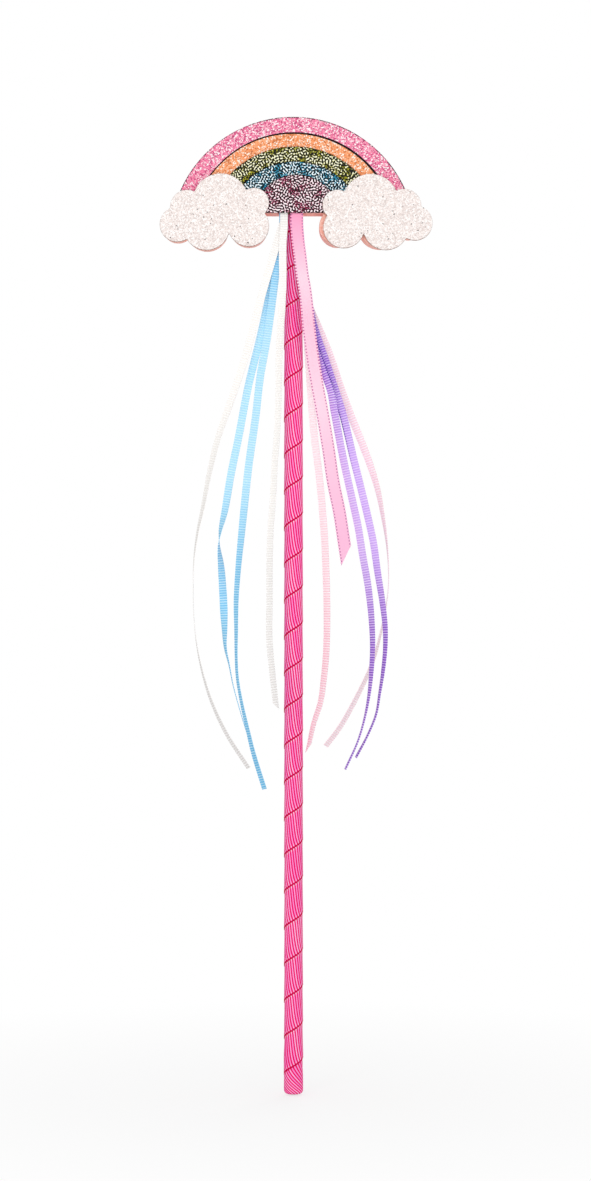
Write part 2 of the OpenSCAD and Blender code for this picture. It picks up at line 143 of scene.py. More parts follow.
PALE_OUTER = [
    (0, 0, 0), (0, 2.5, 0), (0.5, 10, 0), (2.5, 25, 0), (5, 42, 0), (8.5, 50, 0), (11.5, 57, 0), (15, 66, 0),
    (18.5, 76.5, 0), (23, 89, 5), (30, 106.5, 20), (33.5, 116, 34), (36.5, 126, 48), (38.5, 136, 62),
    (41, 153.5, 82), (41.5, 161.5, 88), (41.5, 170.5, 92), (40.5, 179, 97), (38.5, 189.5, 105),
    (34, 206, 118), (27, 221.5, 127), (17.5, 238, 131), (12.5, 244.5, 132),
]
roots = {joint["child"]: Vector(joint["pos_m"]) for joint in frame["joints"]}
head_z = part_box("plum_piece")[0].z
print("streamers with a pivot:", len(roots))

# %% [markdown]
# ## A smooth line through the rows
#
# Straight runs between the rows would leave kinks. A curve object could round them, but a ribbon also
# needs its twist at every step, so both are drawn by the same smooth curve: a cubic through the rows with
# the slopes that its neighbours suggest. The line is then cut into even steps, because the ribs of a woven
# ribbon are evenly spaced.

# %% Smooth lines
def glide(knots, values, at):
    """Values of a smooth curve through the knots, at the places asked for."""
    spans = np.diff(knots)
    rises = np.diff(values) / spans
    middle = (rises[:-1] * spans[1:] + rises[1:] * spans[:-1]) / (spans[:-1] + spans[1:])
    slopes = np.concatenate([rises[:1], middle, rises[-1:]])
    i = np.clip(np.searchsorted(knots, at, side="right") - 1, 0, len(spans) - 1)
    t = (at - knots[i]) / spans[i]
    ends = values[i] * (2 * t**3 - 3 * t**2 + 1) + values[i + 1] * (3 * t**2 - 2 * t**3)
    return ends + spans[i] * (slopes[i] * (t**3 - 2 * t**2 + t) + slopes[i + 1] * (t**3 - t**2))


satin_out, satin_down, _ = np.array(SATIN, float).T
print("satin ribbon 100 mm down, outwards in mm:", round(float(glide(satin_down, satin_out, 100.0)), 1))

# %% Hanging lines
# The ribbons lie one behind the other in lanes, and each lane leans to the front or back as it falls
LANE_FAN = 0.024
FLAT_LANE = 2.5
FINE_STEPS = 3000
EVEN_STEPS = 1500


def hung_line(rows, side, lane, root):
    """A streamer's line at even steps.

    It gives the distance along the line, its points and headings, and the ways across and out of the ribbon.
    """
    lift = (head_z - root.z) / MM
    out, down, twist = np.array([(0, -lift, 0), *rows], float).T
    at = np.linspace(-lift, down[-1], FINE_STEPS)
    reach = glide(down, out, at)
    depth = (lane - FLAT_LANE) * LANE_FAN * np.hypot(reach, np.maximum(at, 0))
    points = np.array(root) + np.stack([side * reach, depth, -at], 1) * MM
    run = np.concatenate([[0], np.cumsum(np.linalg.norm(np.diff(points, axis=0), axis=1))])
    even = np.linspace(0, run[-1], EVEN_STEPS)
    points = np.stack([np.interp(even, run, points[:, k]) for k in range(3)], 1)
    turn = np.radians(np.interp(even, run, glide(down, twist, at)))[:, None]
    along = np.gradient(points, axis=0)
    along /= np.linalg.norm(along, axis=1)[:, None]
    flat = side * np.stack([-along[:, 2], 0 * along[:, 2], along[:, 0]], 1)
    flat /= np.linalg.norm(flat, axis=1)[:, None]
    across = flat * np.cos(turn) + np.cross(along, flat) * np.sin(turn)
    return even, points, along, across, np.cross(along, across)


satin_run = hung_line(SATIN, 1, 0, roots["satin_streamer"])[0]
print("satin route in mm:", round(satin_run[-1] / MM, 1))

# %% [markdown]
# ## Laying a grid
#
# Every ribbon here, on the stick or hanging, is a long strip. A flat grid has the right faces for one: it
# is added with Blender's own operator, and then each vertex moves to its place on the ribbon. Its UV map
# keeps where that vertex lies on the cloth in millimetres, so the weave follows the ribbon through every
# twist. Solidify then gives it the thickness of ribbon.

# %% Strips of ribbon
RIBBON_T = 0.25 * MM
SAME_PLACE = 1e-6
SMOOTH_BELOW = math.radians(50)


def lay_grid(name, columns, rows, place):
    """Adds a grid and moves its vertices: place(u, v) gives a point and its spot on the cloth in mm."""
    bpy.ops.object.select_all(action="DESELECT")
    bpy.ops.mesh.primitive_grid_add(x_subdivisions=columns, y_subdivisions=rows, size=1)
    piece = bpy.context.object
    piece.name = name
    piece.data.name = name
    spots = []
    for vertex in piece.data.vertices:
        vertex.co, spot = place(vertex.co.x + 0.5, vertex.co.y + 0.5)
        spots.append(spot)
    cloth = piece.data.uv_layers.active.data
    for loop in piece.data.loops:
        cloth[loop.index].uv = spots[loop.vertex_index]
    return piece


def select_only(piece):
    """Selects one piece and makes it active, because operators act on all that is selected."""
    bpy.ops.object.select_all(action="DESELECT")
    piece.select_set(True)
    bpy.context.view_layer.objects.active = piece


def cut(piece, point, normal):
    """Cuts off what lies beyond a plane, as scissors do."""
    select_only(piece)
    bpy.ops.object.mode_set(mode="EDIT")
    bpy.ops.mesh.select_all(action="SELECT")
    bpy.ops.mesh.bisect(plane_co=point, plane_no=normal, clear_outer=True, threshold=SAME_PLACE)
    bpy.ops.object.mode_set(mode="OBJECT")


def weld(piece):
    """Merges the points of a mesh that lie in one place."""
    select_only(piece)
    bpy.ops.object.mode_set(mode="EDIT")
    bpy.ops.mesh.select_all(action="SELECT")
    bpy.ops.mesh.remove_doubles(threshold=SAME_PLACE)
    bpy.ops.object.mode_set(mode="OBJECT")


def apply_modifier(piece, kind, **settings):
    """Adds a modifier with its settings and applies it."""
    select_only(piece)
    modifier = piece.modifiers.new(kind.title(), kind)
    for key, value in settings.items():
        setattr(modifier, key, value)
    bpy.ops.object.modifier_apply(modifier=modifier.name)


def finish_cloth(piece, thickness):
    """Gives a strip its thickness and a smooth look."""
    apply_modifier(piece, "SOLIDIFY", thickness=thickness, offset=0)
    bpy.ops.object.shade_smooth_by_angle(angle=SMOOTH_BELOW)


print("ribbon thickness in mm:", RIBBON_T / MM)

# %% [markdown]
# ## The streamers
#
# A narrow streamer is grosgrain, a ribbon with ribs across it, and the wide one is satin with picots, the
# small loops along its edges. The ribs are real waves in the mesh, and the picots are scallops of the
# edge. A slanted end is cut with a bisect, as scissors cut it.

# %% One streamer
RIB_MM = 1.15
RIB_HEIGHT = 0.045 * MM
ROWS_PER_RIB = 6
CROWN = 0.12 * MM
PICOT_MM = 1.45
PICOT_DEPTH = 0.3 * MM
PICOT_SHARPNESS = 6
RIBBON_COLUMNS = 6
SATIN_COLUMNS = 12


def streamer(name, rows, side, lane, width, ends_in=0, picots=False):
    """One hanging ribbon: ends_in is how much longer its outer edge is than its inner edge, in mm."""
    root = roots[name + "_streamer"]
    even, points, along, across, face = hung_line(rows, side, lane, root)
    total = even[-1]
    spare = abs(ends_in) / 2 * MM

    def place(u, v):
        s = v * (total + spare)
        q = 2 * u - 1
        half = width / 2
        lift = CROWN * (1 - q * q)
        if picots:
            dip = 0.5 - 0.5 * math.cos(2 * math.pi * s / (PICOT_MM * MM))
            half -= PICOT_DEPTH * dip * q**PICOT_SHARPNESS
        else:
            lift += RIB_HEIGHT * math.cos(2 * math.pi * s / (RIB_MM * MM))
        middle, wide, out, ahead = (
            np.array([np.interp(s, even, line[:, k]) for k in range(3)])
            for line in (points, across, face, along)
        )
        spot = middle + wide * q * half + out * lift + ahead * max(s - total, 0)
        return spot, (q * half / MM, s / MM)

    columns = SATIN_COLUMNS if picots else RIBBON_COLUMNS
    step_mm = (PICOT_MM if picots else RIB_MM) / ROWS_PER_RIB
    piece = lay_grid(name + "_ribbon", columns, round((total + spare) / MM / step_mm), place)
    if ends_in:
        edge = Vector(across[-1]) * width / 2 + Vector(along[-1]) * ends_in / 2 * MM
        normal = edge.cross(Vector(face[-1])).normalized()
        if normal.dot(Vector(along[-1])) < 0:
            normal.negate()
        cut(piece, Vector(points[-1]), normal)
    finish_cloth(piece, RIBBON_T)
    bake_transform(piece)
    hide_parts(name + "_streamer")
    print(name, "length in mm:", round(total / MM, 1), "faces:", len(piece.data.polygons))
    return piece


# %% Nine streamers
RIBBON_W = 3.5 * MM
SATIN_W = 6.1 * MM
white_ribbons = [
    streamer("white_inner", WHITE_INNER, -1, 0, RIBBON_W, ends_in=-3),
    streamer("white_outer", WHITE_OUTER, -1, 1, RIBBON_W),
]
blue_ribbons = [
    streamer("blue_inner", BLUE_INNER, -1, 2, RIBBON_W),
    streamer("blue_outer", BLUE_OUTER, -1, 3, RIBBON_W),
]
satin_ribbons = [streamer("satin", SATIN, 1, 0, SATIN_W, ends_in=-9, picots=True)]
lavender_ribbons = [
    streamer("lavender_inner", LAVENDER_INNER, 1, 1, RIBBON_W),
    streamer("lavender_outer", LAVENDER_OUTER, 1, 2, RIBBON_W),
]
pale_ribbons = [
    streamer("pale_inner", PALE_INNER, 1, 3, RIBBON_W, ends_in=-5),
    streamer("pale_outer", PALE_OUTER, 1, 4, RIBBON_W),
]

# %% [markdown]
# ## The glued ends
#
# Inside the head each narrow ribbon turns over in a tight fold, and the satin ribbon just ends. They show
# only from below, so the same grid makes them, without a route: up one leg, round the fold and down the
# other.

# %% Folds
FOLD_COLUMNS = 4
FOLD_STEPS = 120
SATIN_END_COLUMNS = 8
SATIN_END_STEPS = 40


def fold(name, ribbons):
    """The hidden doubled end of a narrow ribbon, in the place of its CAD solid."""
    low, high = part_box(name)
    front, back = low.y + RIBBON_T / 2, high.y - RIBBON_T / 2
    radius = (back - front) / 2
    leg = high.z - low.z - radius - RIBBON_T / 2
    total = 2 * leg + math.pi * radius

    def place(u, v):
        s = v * total
        x = low.x + u * (high.x - low.x)
        turn = min(max((s - leg) / radius, 0), math.pi)
        y = front + radius * (1 - math.cos(turn))
        if 0 < turn < math.pi:
            z = low.z + leg + radius * math.sin(turn)
        else:
            z = low.z + min(s, leg, total - s)
        return (x, y, z), (u * RIBBON_W / MM, s / MM)

    piece = lay_grid(name + "_ribbon", FOLD_COLUMNS, FOLD_STEPS, place)
    finish_cloth(piece, RIBBON_T)
    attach(piece, "wand")
    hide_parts(name)
    ribbons.append(piece)
    return piece


fixed_ends = [
    fold("white_fold", white_ribbons),
    fold("blue_fold", blue_ribbons),
    fold("lavender_fold", lavender_ribbons),
    fold("pale_fold", pale_ribbons),
]
satin_low, satin_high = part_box("satin_end")


def place_satin_end(u, v):
    x = satin_low.x + u * (satin_high.x - satin_low.x)
    y = (satin_low.y + satin_high.y) / 2
    z = satin_low.z + v * (satin_high.z - satin_low.z)
    return (x, y, z), ((2 * u - 1) * SATIN_W / 2 / MM, (z - satin_high.z) / MM)


satin_end = lay_grid("satin_end_ribbon", SATIN_END_COLUMNS, SATIN_END_STEPS, place_satin_end)
finish_cloth(satin_end, RIBBON_T)
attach(satin_end, "wand")
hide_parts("satin_end")
satin_ribbons.append(satin_end)
fixed_ends.append(satin_end)
print("fixed ends:", len(fixed_ends))

# %% [markdown]
# ## The ribbon wound round the stick
#
# One long grosgrain ribbon climbs the dowel like a bandage, and each turn's lower edge lies over the turn
# below it. A Screw modifier could sweep it, but the ribs lean and bend towards the seams, so the same grid
# is wound up in code: across the ribbon is up the stick, and along it is round the stick. The lower edge
# stands out by the thickness of the turn that it covers, which gives the seam its real shadow.

# %% Wound ribbon
WRAP_PITCH = 16.75 * MM
WRAP_LAP = 1.0 * MM
WRAP_FIRST_Z = 12.7 * MM
WRAP_PHASE = math.radians(-98)
WRAP_START_TURN = -0.478
WRAP_TOP_GAP = 0.1 * MM
WRAP_TUCKED_R = 4.03 * MM
WRAP_LAP_RISE = 0.27 * MM
WRAP_LAP_CURVE = 1.5
WRAP_COLUMNS = 9
# About 30 ribs are woven into one turn. They are drawn a quarter coarser, or they would blur into one pink
WRAP_RIBS = 24
WRAP_RIB_HEIGHT = 0.04 * MM
RIB_LEAN_MM = 1.6
LOWER_HOOK_MM = 1.2
LOWER_HOOK_SHARPNESS = 5
UPPER_HOOK_MM = 0.4
UPPER_HOOK_SHARPNESS = 14
TIP_COVER_R = 4.36 * MM
TIP_COVER_Z = 18 * MM
TIP_COVER_FADE = 6 * MM
wrap_top = head_z - WRAP_TOP_GAP
wrap_turns = (wrap_top - WRAP_FIRST_Z) / WRAP_PITCH - WRAP_START_TURN
wrap_height = WRAP_PITCH + WRAP_LAP


def place_wrap(u, v):
    """Round the stick by v and up by u, with the columns crowded towards both edges of the ribbon."""
    turn = WRAP_START_TURN + v * wrap_turns
    u = 0.5 * u + 0.25 * (1 - math.cos(math.pi * u))
    angle = 2 * math.pi * turn + WRAP_PHASE
    z = WRAP_FIRST_Z + WRAP_PITCH * turn + u * wrap_height
    lean = u * RIB_LEAN_MM
    lean += UPPER_HOOK_MM * math.exp(-(1 - u) * UPPER_HOOK_SHARPNESS)
    lean -= LOWER_HOOK_MM * math.exp(-u * LOWER_HOOK_SHARPNESS)
    rib = turn * WRAP_RIBS + lean / RIB_MM
    radius = WRAP_TUCKED_R + WRAP_LAP_RISE * (1 - u) ** WRAP_LAP_CURVE
    on_tip = min(max((TIP_COVER_Z + TIP_COVER_FADE - z) / TIP_COVER_FADE, 0), 1)
    over_tip = max(TIP_COVER_R - radius, 0) * on_tip
    radius += over_tip + WRAP_RIB_HEIGHT * math.cos(2 * math.pi * rib)
    return (radius * math.cos(angle), radius * math.sin(angle), z), (u * wrap_height / MM, rib * RIB_MM)


wrap_steps = round(wrap_turns * (WRAP_RIBS * ROWS_PER_RIB))
wound_ribbon = lay_grid("wound_grosgrain", WRAP_COLUMNS, wrap_steps, place_wrap)
cut(wound_ribbon, (0, 0, wrap_top), (0, 0, 1))
finish_cloth(wound_ribbon, RIBBON_T)
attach(wound_ribbon, "wand")
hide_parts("wound_ribbon")
print("turns on the stick:", round(wrap_turns, 1), "faces:", len(wound_ribbon.data.polygons))

# %% [markdown]
# ## The folded lower end
#
# Before the winding starts, a piece of the same ribbon is folded over the end of the dowel, so the wand
# ends in a slightly wider, soft-cornered cap with slanting ribs. A turned profile gives that: the grid
# runs from the middle of the end, round the corner and up under the first turn, and its two long edges are
# merged.

# %% Tip
TIP_PROFILE_MM = [
    (0.0, 0.0), (1.6, 0.0), (2.9, 0.05), (3.6, 0.25), (4.1, 0.7), (4.35, 1.3), (4.42, 2.2), (4.42, 4.5),
    (4.4, 7.0), (4.36, 9.0), (4.25, 10.8), (4.19, 12.5), (4.18, 16.0), (4.18, 20.0),
]
TIP_WALL = 0.25 * MM
TIP_RIBS = 17
TIP_RIB_HEIGHT = 0.05 * MM
TIP_FULL_RIBS_R = 3 * MM
TIP_SLANT = 0.9
TIP_STRAIGHT_MM = 20
TIP_COLUMNS = 60
TIP_STEPS = 144
# On the cloth the cap lies in the middle of the ribbon, well away from the seam's painted shade and glints
TIP_CLOTH_MM = 8
TIP_CLOTH_SHARE = 0.1
tip_r, tip_z = (np.array(column) * MM for column in zip(*TIP_PROFILE_MM))
tip_run = np.concatenate([[0], np.cumsum(np.hypot(np.diff(tip_r), np.diff(tip_z)))])


def place_tip(u, v):
    s = u * tip_run[-1]
    r = np.interp(s, tip_run, tip_r)
    z = np.interp(s, tip_run, tip_z)
    height = z / MM
    rib = v * TIP_RIBS + TIP_SLANT * (height - height**2 / (2 * TIP_STRAIGHT_MM))
    angle = 2 * math.pi * v
    ribbed = min(r / TIP_FULL_RIBS_R, 1)
    r += TIP_RIB_HEIGHT * math.cos(2 * math.pi * rib) * ribbed - TIP_WALL / 2
    on_cloth = (TIP_CLOTH_MM + s / MM * TIP_CLOTH_SHARE, rib * RIB_MM)
    return (r * math.cos(angle), r * math.sin(angle), z + TIP_WALL / 2), on_cloth


tip = lay_grid("folded_tip", TIP_COLUMNS, TIP_STEPS, place_tip)
weld(tip)
bpy.ops.object.mode_set(mode="EDIT")
bpy.ops.mesh.select_all(action="SELECT")
bpy.ops.mesh.normals_make_consistent(inside=False)
bpy.ops.object.mode_set(mode="OBJECT")
finish_cloth(tip, TIP_WALL)
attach(tip, "wand")
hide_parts("tip_cap")
print("tip faces:", len(tip.data.polygons))

# %% [markdown]
# ## The cut pieces of the head
#
# The rainbow's bands and the clouds are die-cut glitter fabric, and behind them lie foam and felt. Their
# outlines are right in the CAD model, but its edges are razor sharp and its faces dead flat. So each piece
# starts as a merged copy of its solid: a voxel remesh rounds the edges by a fraction of a millimetre and
# gives the faces enough points for a Displace modifier to raise the grain of flakes, pores or fibres.

# %% Grain and cut
def grain(name, kind, size_mm):
    """A procedural bump pattern for a Displace modifier."""
    texture = bpy.data.textures.new(name, kind)
    texture.noise_scale = size_mm * MM
    return texture


def cut_piece(node, name, voxel_mm, texture, height_mm):
    """A copy of a flat solid with soft edges and a raised grain."""
    piece = bpy.data.objects.new(name, frame["nodes"][node].data.copy())
    bpy.context.collection.objects.link(piece)
    piece.data.name = name
    weld(piece)
    apply_modifier(piece, "REMESH", mode="VOXEL", voxel_size=voxel_mm * MM)
    apply_modifier(piece, "DISPLACE", texture=texture, strength=height_mm * MM, mid_level=0.5)
    bpy.ops.object.shade_smooth()
    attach(piece, "wand")
    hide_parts(node)
    print(name, "faces:", len(piece.data.polygons))
    return piece


# %% Cut pieces
# Each kind has its voxel in mm, its grain, and the height of the grain in mm
fine_cut = (0.3, grain("fine_flakes", "CLOUDS", 0.6), 0.08)
coarse_cut = (0.3, grain("coarse_flakes", "VORONOI", 1.1), 0.2)
fibres = grain("fibres", "CLOUDS", 1.5)
foam_cut = (0.5, fibres, 0.12)
felt_cut = (0.4, fibres, 0.12)
pink_band = cut_piece("pink_band", "pink_glitter_band", *fine_cut)
peach_band = cut_piece("peach_band", "peach_glitter_band", *fine_cut)
gold_band = cut_piece("gold_band", "gold_glitter_band", *coarse_cut)
blue_band = cut_piece("blue_band", "blue_glitter_band", *coarse_cut)
plum_piece = cut_piece("plum_piece", "plum_glitter_piece", *coarse_cut)
left_cloud = cut_piece("left_cloud", "left_glitter_cloud", *fine_cut)
right_cloud = cut_piece("right_cloud", "right_glitter_cloud", *fine_cut)
foam_core = cut_piece("foam_core", "foam_padding", *foam_cut)
back_panel = cut_piece("back_panel", "felt_back", *felt_cut)

# %% [markdown]
# ## Building materials
#
# Every finish below is made of nodes. One function turns a colour code into the linear values that Blender
# shades with, and one adds a node with its settings, its colour stops and its links. Everything else is
# said where it is used.

# %% Colours and nodes
def paint(code):
    """Linear RGBA of an sRGB hex colour."""
    parts = [int(code[k : k + 2], 16) / 255 for k in (1, 3, 5)]
    return (*(c / 12.92 if c <= 0.04045 else ((c + 0.055) / 1.055) ** 2.4 for c in parts), 1)


def add(tree, kind, sockets=None, stops=None, **settings):
    """Adds a node with its settings.

    Sockets take a value or a link, and stops are a ramp's places and colours.
    """
    made = tree.nodes.new(kind)
    for key, value in settings.items():
        setattr(made, key, value)
    if stops:
        steps = made.color_ramp.elements
        steps.remove(steps[1])
        first_place, first_code = stops[0]
        steps[0].position = first_place
        steps[0].color = paint(first_code)
        for place, code in stops[1:]:
            steps.new(place).color = paint(code)
    for key, value in (sockets or {}).items():
        if isinstance(value, bpy.types.NodeSocket):
            tree.links.new(value, made.inputs[key])
        else:
            made.inputs[key].default_value = value
    return made


def colour_of(mixed):
    """The colour output of a Mix node, which also has outputs of other kinds."""
    return next(output for output in mixed.outputs if output.type == "RGBA")


def new_finish(name):
    """An empty material and its tree."""
    finish = bpy.data.materials.new(name)
    finish.use_nodes = True
    finish.node_tree.nodes.clear()
    return finish, finish.node_tree


def dress(pieces, finish):
    """Puts one finish on pieces."""
    for piece in pieces:
        piece.data.materials.clear()
        piece.data.materials.append(finish)
    print(finish.name, "on", len(pieces), "pieces")


print("middle grey as linear light:", round(paint("#808080")[0], 3))

# %% [markdown]
# ## Rings on the head
#
# The rainbow's bands are round, and two dark lines follow them: the cut rim of the pink band, and a painted
# shadow in the gap beside the peach band. A thin torus could be laid there, but both are only marks painted
# on a surface. A mask in the material finds them: the distance of a point from the arch's centre, compared
# with its radius.

# %% Rings
def crown_circle(node):
    """Centre and radius of the circle that an arched band's upper edge lies on."""
    low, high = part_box(node)
    half = (high.x - low.x) / 2
    crown = high.z - low.z
    radius = (half**2 + crown**2) / (2 * crown)
    print(node, "radius in mm:", round(radius / MM, 2))
    return (low.x + half, 0, high.z - radius), radius


def ring_mask(tree, spot, circle, half_width):
    """1 close to a circle that faces forwards, and 0 elsewhere."""
    centre, radius = circle
    spoke = add(
        tree, "ShaderNodeVectorMath", {0: spot.outputs["Object"], 1: centre}, operation="SUBTRACT"
    )
    level = add(
        tree, "ShaderNodeVectorMath", {0: spoke.outputs[0], 1: (1, 0, 1)}, operation="MULTIPLY"
    )
    reach = add(tree, "ShaderNodeVectorMath", {0: level.outputs[0]}, operation="LENGTH")
    ring = add(
        tree,
        "ShaderNodeMath",
        {0: reach.outputs["Value"], 1: radius, 2: half_width},
        operation="COMPARE",
    )
    return ring.outputs[0]


pink_ring = crown_circle("pink_band")
peach_ring = crown_circle("peach_band")

# %% [markdown]
# ## Glitter fabric
#
# Glitter fabric is a cloth glued full of foil flakes. Each flake tilts its own way, so by chance it flashes,
# looks mid or nearly black. Flakes modelled one by one would be far too many, so the material draws them,
# each in one flat colour that paints in its light: the brightest flakes are painted highlights and the
# nearly black ones painted shade. A Voronoi texture gives each cell a random colour: its red picks the
# flake's painted brightness from a ramp with hard steps, and the whole colour tilts the flake's normal. On
# coarse glitter the painted bright and dark flakes also lie in short curved strokes, which a Gabor texture
# draws and a soft noise makes stronger in patches. The cut edge shows the darker backing, which the piece's
# own
# normal finds: a face that doesn't look forwards or back is an edge. On the pink band the backing also
# shows as a frayed dark rim.

# %% Strokes of coarse glitter
STROKE_MM = 1.25
STROKE_CELL = 2
STROKE_CONTRAST = 4.5
STROKE_LEAST = 0.5
PATCH_MM = 4.5
PATCH_FROM = 0.3
PATCH_TO = 0.48
FLAKE_CONTRAST = 0.6


def in_strokes(tree, spot, chance):
    """Chance from 0 to 1, drawn together into strokes."""
    laid_flat = add(
        tree,
        "ShaderNodeMapping",
        {"Vector": spot.outputs["Object"], "Rotation": (math.radians(90), 0, 0)},
    )
    stroke = add(
        tree,
        "ShaderNodeTexGabor",
        {
            "Vector": laid_flat.outputs[0],
            "Scale": 1 / (STROKE_CELL * STROKE_MM * MM),
            "Frequency": STROKE_CELL,
            "Anisotropy": 0.0,
        },
    )
    patch = add(
        tree,
        "ShaderNodeTexNoise",
        {"Vector": spot.outputs["Object"], "Scale": 1 / (PATCH_MM * MM), "Detail": 0.0},
    )
    strength = add(
        tree,
        "ShaderNodeMapRange",
        {
            "Value": patch.outputs[0],
            "From Min": PATCH_FROM,
            "From Max": PATCH_TO,
            "To Min": STROKE_LEAST,
            "To Max": STROKE_CONTRAST,
        },
    )
    swing = add(tree, "ShaderNodeMath", {0: stroke.outputs["Value"], 1: 0.5}, operation="SUBTRACT")
    turned = add(
        tree,
        "ShaderNodeMath",
        {0: swing.outputs[0], 1: strength.outputs[0], 2: 0.5 - FLAKE_CONTRAST / 2},
        operation="MULTIPLY_ADD",
    )
    mixed = add(
        tree,
        "ShaderNodeMath",
        {0: chance, 1: FLAKE_CONTRAST, 2: turned.outputs[0]},
        operation="MULTIPLY_ADD",
    )
    return mixed.outputs[0]


print("strokes of coarse glitter in mm:", STROKE_MM)

# %% Edges and tilt of the flakes
EDGE_FROM = 0.45
EDGE_TO = 0.75
RIM_W = 0.45 * MM
RIM_FLAKES = 0.35
FLAKE_TILT = 0.35


def show_backing(tree, spot, colour, luck, edge, rim):
    """The flakes' colour, with the backing on the cut edge and along the rim."""
    facing = add(tree, "ShaderNodeSeparateXYZ", {"Vector": spot.outputs["Normal"]})
    flat = add(tree, "ShaderNodeMath", {0: facing.outputs["Y"]}, operation="ABSOLUTE")
    inside = add(
        tree,
        "ShaderNodeMapRange",
        {"Value": flat.outputs[0], "From Min": EDGE_FROM, "From Max": EDGE_TO},
    )
    shown = add(
        tree,
        "ShaderNodeMix",
        {"Factor": inside.outputs[0], "A": paint(edge), "B": colour},
        data_type="RGBA",
    )
    if rim:
        bare = add(tree, "ShaderNodeMath", {0: luck, 1: RIM_FLAKES}, operation="GREATER_THAN")
        frayed = add(
            tree,
            "ShaderNodeMath",
            {0: ring_mask(tree, spot, rim, RIM_W), 1: bare.outputs[0]},
            operation="MULTIPLY",
        )
        shown = add(
            tree,
            "ShaderNodeMix",
            {"Factor": frayed.outputs[0], "A": colour_of(shown), "B": paint(edge)},
            data_type="RGBA",
        )
    return colour_of(shown)


def flake_normal(tree, flakes):
    """The surface's normal, tilted by chance in each flake."""
    surface = add(tree, "ShaderNodeNewGeometry")
    centred = add(
        tree,
        "ShaderNodeVectorMath",
        {0: flakes.outputs["Color"], 1: (0.5, 0.5, 0.5)},
        operation="SUBTRACT",
    )
    tilted = add(
        tree,
        "ShaderNodeVectorMath",
        {0: centred.outputs[0], 1: (FLAKE_TILT,) * 3, 2: surface.outputs["Normal"]},
        operation="MULTIPLY_ADD",
    )
    level = add(tree, "ShaderNodeVectorMath", {0: tilted.outputs[0]}, operation="NORMALIZE")
    return level.outputs[0]


print("pink rim in mm:", RIM_W / MM)

# %% Glitter
# The real grit would blur away, so flakes are drawn at half a millimetre, about one pixel
FLAKE_MM = 0.5
FLAKE_SHINE = 0.12


def glitter(name, shades, roughness, edge, strokes=False, rim=None):
    """Glitter fabric: shades are (share, colour) from the darkest to the brightest flakes.

    The darkest shades are painted shade of flakes that face away, the brightest painted highlights. The
    rim is a circle along which the backing shows between the flakes.
    """
    finish, tree = new_finish(name)
    spot = add(tree, "ShaderNodeTexCoord")
    flakes = add(
        tree,
        "ShaderNodeTexVoronoi",
        {"Vector": spot.outputs["Object"], "Scale": 1 / (FLAKE_MM * MM), "Randomness": 1.0},
    )
    chance = add(tree, "ShaderNodeSeparateColor", {"Color": flakes.outputs["Color"]})
    catch = chance.outputs["Red"]
    if strokes:
        catch = in_strokes(tree, spot, catch)
    starts = np.cumsum([0] + [share for share, _ in shades[:-1]])
    colour = add(
        tree,
        "ShaderNodeValToRGB",
        {"Fac": catch},
        stops=[(start, code) for start, (_, code) in zip(starts, shades)],
    )
    colour.color_ramp.interpolation = "CONSTANT"
    shader = add(
        tree,
        "ShaderNodeBsdfPrincipled",
        {
            "Base Color": show_backing(
                tree, spot, colour.outputs["Color"], chance.outputs["Green"], edge, rim
            ),
            "Roughness": roughness,
            "Specular IOR Level": FLAKE_SHINE,
            "Normal": flake_normal(tree, flakes),
        },
    )
    add(tree, "ShaderNodeOutputMaterial", {"Surface": shader.outputs[0]})
    return finish


print("flakes in mm:", FLAKE_MM)

# %% Fine glitter
BAND_BACKING = "#32121A"
BAND_ROUGHNESS = 0.45
CLOUD_BACKING = "#A98C80"
CLOUD_ROUGHNESS = 0.5
# Fine pink foil grit: an even sparkle of deep, mid and pale pink, with single white flashes as painted
# highlights
pink_glitter = glitter(
    "pink_fine_glitter_fabric",
    [(0.2, "#BE4A78"), (0.3, "#F0789F"), (0.22, "#F394B0"), (0.12, "#F8BCCB"), (0.16, "#FFF4F6")],
    BAND_ROUGHNESS, BAND_BACKING, rim=pink_ring,
)
# The same grit in peach: warm orange, with cream flashes as painted highlights
peach_glitter = glitter(
    "peach_fine_glitter_fabric",
    [(0.18, "#C87244"), (0.32, "#F59660"), (0.24, "#F7A878"), (0.13, "#FAC6A2"), (0.13, "#FFF6EA")],
    BAND_ROUGHNESS, BAND_BACKING,
)
# White iridescent grit: nearly even warm white, with beige grains, a rare grey one in painted shade and the
# brightest as painted highlights
white_glitter = glitter(
    "white_fine_glitter_fabric",
    [
        (0.0015, "#6E6866"), (0.2045, "#DDD1CD"), (0.24, "#EADDD8"), (0.3, "#F6ECE8"), (0.254, "#FFFBF9"),
    ],
    CLOUD_ROUGHNESS, CLOUD_BACKING,
)
dress([pink_band], pink_glitter)
dress([peach_band], peach_glitter)
dress([left_cloud, right_cloud], white_glitter)

# %% Coarse glitter
FOIL_ROUGHNESS = 0.4
# Coarse gold foil: painted black where the flakes face away, olive and gold between, and cream painted
# highlights where they flash
gold_glitter = glitter(
    "gold_coarse_glitter_fabric",
    [(0.58, "#030301"), (0.13, "#77760C"), (0.1, "#B4AE28"), (0.05, "#E4E09C"), (0.14, "#FFFFE4")],
    FOIL_ROUGHNESS, "#1E1A08", strokes=True,
)
# The same foil in blue: painted black, teal and sky blue, with icy flashes as painted highlights
blue_glitter = glitter(
    "blue_coarse_glitter_fabric",
    [(0.55, "#020709"), (0.16, "#1C7E9E"), (0.1, "#58B4CF"), (0.05, "#BCE0E6"), (0.14, "#F8FEFF")],
    FOIL_ROUGHNESS, "#0E2026", strokes=True,
)
